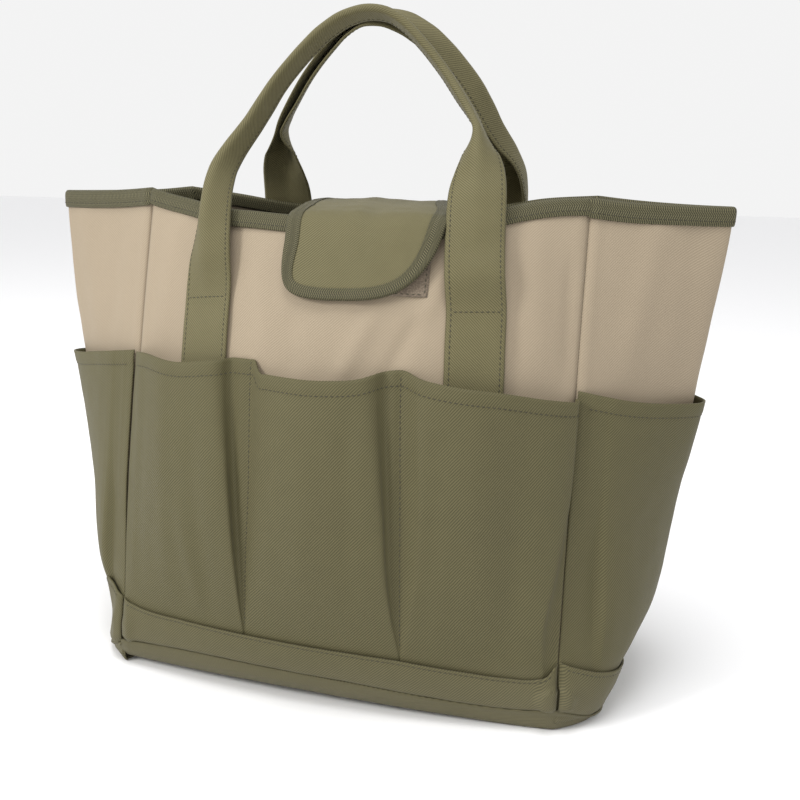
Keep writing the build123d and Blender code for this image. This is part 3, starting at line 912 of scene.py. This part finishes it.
# tapes over the four inside seams
seamTape = {
    "foot": 14.0,
    "height": 296.0,
    # sideways and out from the corner, round the folded tape
    "section": [(-0.6, -2.2), (-1.6, -9.0), (-1.3, -10.6), (0.0, -11.2), (1.3, -10.6), (1.6, -9.0),
                (0.6, -2.2)],
}
for name, s in (
    ("frontRightSeamBinding", 1.0), ("backRightSeamBinding", 2.0),
    ("backLeftSeamBinding", 3.0), ("frontLeftSeamBinding", 4.0),
):
    def tapePlace(u, v, s=s):
        z = seamTape["foot"] + seamTape["height"] * v
        side = alongTable(u, seamTape["section"], 0)
        depth = alongTable(u, seamTape["section"], 1)
        corner = wall(np.full_like(u, s), z, depth + 0.5 * rumple(z, u * 3, 30.0, s))
        ahead = wall(np.full_like(u, s), z, depth + 1.0) - wall(np.full_like(u, s), z, depth)
        corner[:, 0] += -ahead[:, 1] * side
        corner[:, 1] += ahead[:, 0] * side
        return corner

    piece = clothSheet(name, 18, 70, tapePlace, 0.8, bindingTape, offset=1.0)
    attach(piece, "bag")
    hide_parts("".join("_" + c.lower() if c.isupper() else c for c in name))
print("stage: bindings")

# straps
strap = {
    "halfWidth": 19.0,
    "halfCloth": 1.15,
    # x, z, y of the middle of the strap, from the left end round to the right; y None lies on the panel
    "path": [(-89.5, 188, None), (-90, 208, None), (-90.5, 228, None), (-91.5, 248, None),
             (-92.6, 268, None), (-94.4, 298, -73.5), (-95.9, 329, -63.5),
             (-94.8, 355.7, -47), (-84.5, 376, -34), (-75, 393, -25), (-66.3, 409, -18.5),
             (-55, 424, -15), (-44, 436, -13), (-31, 447.5, -12.2), (-17, 455.5, -12),
             (-1.6, 459, -12), (12, 457.5, -12), (24, 450.5, -12), (36, 439, -12.4), (51.1, 421.7, -14),
             (66.1, 401.8, -20), (74, 391, -25), (79, 383, -29.5),
             (82, 366, -41), (84.5, 342.8, -55), (86.8, 312, -68), (89, 290, -77), (91, 268.6, None),
             (92, 248, None), (93, 228, None), (93.6, 208, None),
             (94, 188, None)],
    # how far the strap is folded in half, in degrees, and how it is turned, at each of those points
    "fold": [0, 0, 0, 0, 3, 27, 51, 65, 75, 80, 83, 84, 84, 84, 84, 84, 84, 84, 84, 84, 84, 86, 87, 50,
             15, 6, 3, 1, 0, 0, 0, 0],
    "turn": [0, 0, 0, 0, 0, -4, -12, -14, -13, -13, -13, -13, -13, -13, -12, -12, -11, -10, -10, -10, -9,
             -6, -4, 0, 0, 0, 0, 0, 0, 0, 0, 0],
    "backTurn": [0, 0, 0, 0, 0, -6, -22, -38, -52, -60, -64, -66, -66, -62, -50, -32, -18, -12, -10, -10,
                 -9, -6, -4, 0, 0, 0, 0, 0, 0, 0, 0, 0],
}


def strapSpine():
    dots = []
    for x, z, y in strap["path"]:
        dots.append((x, -(float(panelY(x, z)) + 2.3) if y is None else y, z))
    dots = np.array(dots)
    run = np.concatenate([[0], np.cumsum(np.linalg.norm(np.diff(dots, axis=0), axis=1))])
    return dots, run


strapDots, strapRun = strapSpine()
strapLength = float(strapRun[-1])


def strapCentre(length):
    return np.stack([through(length, list(zip(strapRun, strapDots[:, k]))) for k in range(3)], axis=1)


def strapPlacer(turns, way):  # way is -1 for the strap on the back, half a turn round
    def place(u, v):
        length = strapLength * np.clip(v, 0, 1)
        centre = strapCentre(length)
        before, after = np.clip([length - 2.0, length + 2.0], 0, strapLength)
        ahead = strapCentre(after) - strapCentre(before)
        ahead /= np.linalg.norm(ahead, axis=1)[:, None]
        fold = np.radians(through(length, list(zip(strapRun, strap["fold"]))))
        turn = np.radians(through(length, list(zip(strapRun, turns))))
        lean = np.radians(13.5) * centre[:, 0] / 91.0 * (1 - smoothStep(300, 360, centre[:, 2]))
        facing = np.stack([np.sin(lean), -np.cos(lean), np.zeros_like(lean)], axis=1)
        facing -= ahead * np.sum(facing * ahead, axis=1)[:, None]
        facing /= np.linalg.norm(facing, axis=1)[:, None]
        across = np.cross(facing, ahead)  # away from the opening under the handle
        widthDir = across * np.cos(turn)[:, None] + facing * np.sin(turn)[:, None]
        depthDir = facing * np.cos(turn)[:, None] - across * np.sin(turn)[:, None]
        around = np.mod(u, 1.0)
        front = around < 0.5
        q = np.where(front, around * 4 - 1, 3 - around * 4)  # -1 to 1 across the outer face, then back
        q = np.sin(q * math.pi / 2) * 0.35 + q * 0.65
        soft = np.sqrt(q * q + 0.012) - math.sqrt(0.012)
        half = strap["halfWidth"]
        w = half * q * np.cos(fold) + np.tanh(q * 9) * 1.25 * np.sin(fold)
        d = -half * soft * np.sin(fold) + half * 0.45 * np.sin(fold)
        slopeW = half * np.cos(fold) + 1.25 * np.sin(fold) * 9 / np.cosh(q * 9) ** 2
        slopeD = -half * np.sin(fold) * q / np.sqrt(q * q + 0.012)
        size = np.hypot(slopeW, slopeD)
        normalW, normalD = -slopeD / size, slopeW / size
        cloth = strap["halfCloth"] * np.sqrt(np.clip(1 - np.abs(q) ** 14, 0, 1))
        groove = 0.3 * np.exp(-(((np.abs(q) - 0.83) / 0.05) ** 2))
        ends = smoothStep(0, 1.2, length) * smoothStep(0, 1.2, strapLength - length)
        thick = np.where(front, 1.0, -1.0) * (cloth - groove) * ends
        puff = 0.9 * rumple(length, q * 9, 17.0, 61.0)
        w = w + normalW * thick
        d = d + normalD * thick + puff * smoothStep(270, 300, centre[:, 2])
        return (centre + widthDir * w[:, None] + depthDir * d[:, None]) * np.array([way, way, 1.0])

    return place


def makeStrap(side, turns, way):
    place = strapPlacer(turns, way)
    band = clothSheet(side + "Strap", 44, 230, place, 0, oliveClothWithPaintedLight, closed=True, straight=True)
    makeCurrent(band)
    bpy.ops.object.mode_set(mode="EDIT")
    bpy.ops.mesh.select_all(action="SELECT")
    bpy.ops.mesh.normals_make_consistent(inside=False)
    bpy.ops.object.mode_set(mode="OBJECT")
    rows = []
    for edge in (0.055, 0.445):  # along both edges of the outer face
        rows.append(rowOn(place, (edge, edge), (0.012, 0.988), 900, -0.25))
    steps = np.linspace(0, 1, 2000)
    middle = strapCentre(steps * strapLength)
    for leg in (-1, 1):  # the line where each leg leaves the panel
        best = np.argmin(np.abs(middle[:, 2] - 268.0) + np.where(np.sign(middle[:, 0]) == leg, 0, 500))
        rows.append(rowOn(place, (0.06, 0.44), (steps[best], steps[best]), 60, -0.15))
    return band, sewRows(side + "StrapStitches", rows, threadWithPaintedShade)


frontStrap, frontStrapStitches = makeStrap("front", strap["turn"], 1.0)
backStrap, backStrapStitches = makeStrap("back", strap["backTurn"], -1.0)
for side, sign, pieces in (
    ("front", -1, (frontStrap, frontStrapStitches)), ("back", 1, (backStrap, backStrapStitches)),
):
    for piece in pieces:
        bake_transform(piece)
    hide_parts(f"{side}_handle", f"{side}_handle_left_end", f"{side}_handle_right_end")
print("stage: straps")

# closing flap
flap = {
    # y, z of its middle line from the back rim, over the bag and down the front
    "profile": [(63.5, 321.0), (64.0, 326.5), (58.0, 330.0), (44.0, 331.5), (26.0, 332.0), (6.0, 331.6),
                (-14.0, 330.8), (-34.0, 329.6), (-50.0, 328.0),
                (-62.0, 325.6), (-69.5, 321.0), (-74.5, 313.5), (-79.0, 303.0), (-84.5, 288.5),
                (-91.0, 271.8)],
    "half": 53.0,
    "cloth": 2.6,
    "waves": ((0.9, 34.0, 0), (0.35, 12.0, 1)),
    # the folded tape round the edge: in from the edge, then up from the leaf
    "tape": [(9.5, 1.75), (8.8, 2.1), (5.5, 2.15), (2.2, 2.1), (0.5, 1.5), (0.0, 0.0), (0.5, -1.5),
             (2.2, -2.1),
             (5.5, -2.15), (8.8, -2.1), (9.5, -1.75)],
}
flapDots = np.array(flap["profile"])
flapRun = np.concatenate([[0], np.cumsum(np.linalg.norm(np.diff(flapDots, axis=0), axis=1))])
flapLength = float(flapRun[-1])
flapOutline = [(a, flapLength - short) for a, short in (  # across, and how far short of the tip
    (-1.0, flapLength), (-1.0, 90), (-1.07, 45), (-1.08, 16), (-0.95, 3.5), (-0.62, 0), (-0.15, 0.3),
    (0.25, 2.5), (0.54, 9), (0.77, 21), (0.92, 36), (0.98, 54), (0.995, 72), (0.99, 100),
    (1.0, flapLength),
)]


def flapSpot(a, b):  # a across from -1 to 1, b along in millimetres
    y = through(b, list(zip(flapRun, flapDots[:, 0])))
    z = through(b, list(zip(flapRun, flapDots[:, 1])))
    fallen = smoothStep(flapLength - 75, flapLength - 35, b)
    middle = 1.0 + 14.5 * smoothStep(45, flapLength - 62, b) + 2.0 * fallen
    half = flap["half"] + 1.0 * smoothStep(60, 130, b) - 2.6 * fallen
    x = middle + a * half
    y = y + fallen * 0.75 * (panelY(10.0, z) - panelY(x, z))
    z = z - (1 - fallen) * 2.2 * a**4
    y = y - 3.5 * fallen * smoothStep(0.35, 1.0, a) * smoothStep(flapLength - 45, flapLength - 10, b)
    lively = smoothStep(0, 30, b)
    ridge = 0.9 * np.exp(-(((x - 2 - 0.15 * (b - 90)) / 7.0) ** 2))
    hollow = 0.8 * np.exp(-(((x - 22 + 0.1 * (b - 90)) / 9.0) ** 2))
    swell = lively * (rumples(x, b, 71.0, flap["waves"]) + ridge - hollow)
    y = y - swell * fallen
    z = z + swell * (1 - fallen)
    return np.stack([x, y, z], axis=1)


def outlineAt(e):  # rounded curve along the flap's free edge
    dots = np.array(flapOutline)
    count = len(dots)
    along = np.clip(e, 0, 1) * (count - 2) + 0.5
    i = np.clip(np.round(along).astype(int), 1, count - 2)
    t = (along - i + 0.5)[:, None]
    return 0.5 * (1 - t) ** 2 * dots[i - 1] + (0.5 + t * (1 - t)) * dots[i] + 0.5 * t * t * dots[i + 1]


def flapEdgeTable():
    spots = outlineAt(np.linspace(0, 1, 900))
    head = np.stack([np.full(60, -1.0), np.linspace(0, spots[0][1], 60, endpoint=False)], axis=1)
    tail = np.stack([np.full(60, 1.0), np.linspace(spots[-1][1], 0, 61)[1:]], axis=1)
    table = np.concatenate([head, spots, tail])
    steps = np.hypot(np.diff(table[:, 0]) * flap["half"], np.diff(table[:, 1]))
    run = np.concatenate([[0], np.cumsum(steps)])
    return table, run / run[-1]


edgeTable, edgeShare = flapEdgeTable()


def edgeAt(e):
    e = np.clip(e, 0, 1)
    return np.interp(e, edgeShare, edgeTable[:, 0]), np.interp(e, edgeShare, edgeTable[:, 1])


def flapNormal(a, b):
    here = flapSpot(a, b)
    normal = np.cross(flapSpot(a + 0.01, b) - here, here - flapSpot(a, b + 0.5))
    return here, normal / np.linalg.norm(normal, axis=1)[:, None]


lowest = {}  # how far down the free edge is, at each place across
for across, down in edgeTable[edgeTable[:, 1] > flapLength - 100]:
    key = round(float(across), 3)
    lowest[key] = max(lowest.get(key, 0.0), float(down))
lowestTable = np.array(sorted(lowest.items()))


def flapPlace(u, v):  # u runs across, v from the tip up to the back rim
    a = (2 * np.clip(u, 0, 1) - 1) * 0.97
    stop = np.interp(a, lowestTable[:, 0], lowestTable[:, 1]) - 1.6
    return flapSpot(a, stop * (1 - v))


flapLeaf = clothSheet("flapLeaf", 60, 110, flapPlace, flap["cloth"], oliveClothWithPaintedLight, offset=0.0)


def flapTapePlace(u, v):
    a, b = edgeAt(u)
    a0, b0 = edgeAt(u - 0.004)
    a1, b1 = edgeAt(u + 0.004)
    da, db = (a1 - a0) * flap["half"], b1 - b0
    size = np.hypot(da, db)
    inA, inB = db / size, -da / size  # points into the flap
    narrow = 1.12 - 0.3 * smoothStep(flapLength - 40, flapLength - 8, b)
    inward = alongTable(v, flap["tape"], 0) * narrow
    lift = alongTable(v, flap["tape"], 1)
    here, normal = flapNormal(a + inA * inward / flap["half"], b + inB * inward)
    return here + normal * lift[:, None]


flapBinding = clothSheet("flapBinding", 300, 20, flapTapePlace, 0.7, bindingTape, offset=1.0)
tapeRows = [
    rowOn(flapTapePlace, (0.004, 0.996), (0.09, 0.09), 900, 0.75),
    rowOn(flapPlace, (0.04, 0.96), (0.955, 0.955), 120, flap["cloth"] / 2 + 0.1),  # across the back rim
]
flapStitches = sewRows("flapStitches", tapeRows, threadWithPaintedShade)
for piece, material in ((flapLeaf, "olive_fabric"), (flapBinding, "binding_tape"),
                        (flapStitches, "binding_tape")):
    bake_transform(piece)
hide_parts("flap", "flap_tongue")
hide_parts("flap_binding", "tongue_binding")


def hookPlace(u, v):
    a = -0.58 + 1.16 * u
    b = flapLength - 39 + 20 * (1 - v)
    here, normal = flapNormal(a, b)
    rounded = 0.4 * (1 - np.maximum(np.abs(2 * u - 1), np.abs(2 * v - 1)) ** 8)
    return here - normal * (flap["cloth"] / 2 + 0.9 + rounded)[:, None]


hookPatch = clothSheet("hookPatch", 40, 16, hookPlace, 0.8, hookTape, offset=1.0)
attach(hookPatch, "flap_tongue")
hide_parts("hook_patch")


def loopPlace(u, v):
    x = -32 + 92 * u
    z = 277.0 + 22.0 * v - 1.0 * u
    edge = np.maximum(np.abs(2 * u - 1), np.abs(2 * v - 1))
    return np.stack([x, -(panelY(x, z) + 2.2 - 1.0 * edge**10), z], axis=1)


loopPatch = clothSheet("loopPatch", 60, 18, loopPlace, 0.9, loopTape)
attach(loopPatch, "bag")
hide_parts("loop_patch")
loopRows = [rowOn(loopPlace, (0.02, 0.98), (v, v), 120, 0.1, 3.6) for v in (0.07, 0.93)]
loopRows.append(rowOn(loopPlace, (0.98, 0.98), (0.05, 0.95), 60, 0.1, 3.6))
print("stage: flap")

# the bag's own stitching
bagStitches = {
    "frontPocketStitches": frontRows,
    "sidePocketStitches": pocketRows,
    "bandStitches": bandRows,
    "rimStitches": [rimRow],
    "loopPatchStitches": loopRows,
}
for name, rows in bagStitches.items():
    piece = sewRows(name, rows, threadWithPaintedShade)
    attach(piece, "bag")
piece = sewRows("backPocketStitches", frontRows, threadWithPaintedShade, half=True)
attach(piece, "bag")
print("stage: stitches")

# floor, light and camera
clearSelection()
bpy.ops.mesh.primitive_plane_add(size=14.0, location=(0, 2.0, -0.0004))
floor = bpy.context.object
floor.name = "floor"
floorLook, floorTree, floorSurface = startMaterial("paleFloor")
floorValues = {"Base Color": (0.93, 0.93, 0.94, 1), "Roughness": 0.7, "Specular IOR Level": 0.2}
setInputs(floorTree, floorSurface, floorValues)
floor.data.materials.append(floorLook)

world = bpy.data.worlds.new("studio")
bpy.context.scene.world = world
world.use_nodes = True
setInputs(world.node_tree, world.node_tree.nodes["Background"], {0: (1, 1, 1, 1), 1: 0.9})


def addLamp(name, place, aim, size, power, color=(1, 1, 1)):
    lamp = bpy.data.lights.new(name, "AREA")
    lamp.shape = "DISK"
    lamp.size = size
    lamp.energy = power
    lamp.color = color
    thing = bpy.data.objects.new(name, lamp)
    bpy.context.collection.objects.link(thing)
    thing.location = place
    thing.rotation_euler = (Vector(aim) - Vector(place)).to_track_quat("-Z", "Y").to_euler()


addLamp("keyLamp", (-1.7, -1.6, 1.5), (0, 0, 0.2), 0.8, 36.0, (1, 0.99, 0.97))
addLamp("topLamp", (0.1, -0.5, 2.2), (0, 0, 0.2), 1.0, 20.0)

camera = bpy.data.cameras.new("camera")
cameraThing = bpy.data.objects.new("camera", camera)
bpy.context.collection.objects.link(cameraThing)
view = {
    "azimuth": 15.66, "elevation": 11.52, "roll": 1.0, "distance": 0.7395, "aim": (0.0, 0.0, 0.2067),
    "lens": 45.18, "shift": (0.0387, -0.0322),
}
az, el, roll = (math.radians(view[k]) for k in ("azimuth", "elevation", "roll"))
back = Vector((math.sin(az) * math.cos(el), -math.cos(az) * math.cos(el), math.sin(el)))
cameraThing.location = Vector(view["aim"]) + back * view["distance"]
cameraThing.rotation_euler = (-back).to_track_quat("-Z", "Y").to_euler()
cameraThing.rotation_euler.rotate_axis("Z", roll)
camera.lens = view["lens"]
camera.sensor_width = 36.0
camera.shift_x, camera.shift_y = view["shift"]
camera.clip_start = 0.05
bpy.context.scene.camera = cameraThing
bpy.context.scene.view_settings.view_transform = "Standard"
print("stage: light and camera")
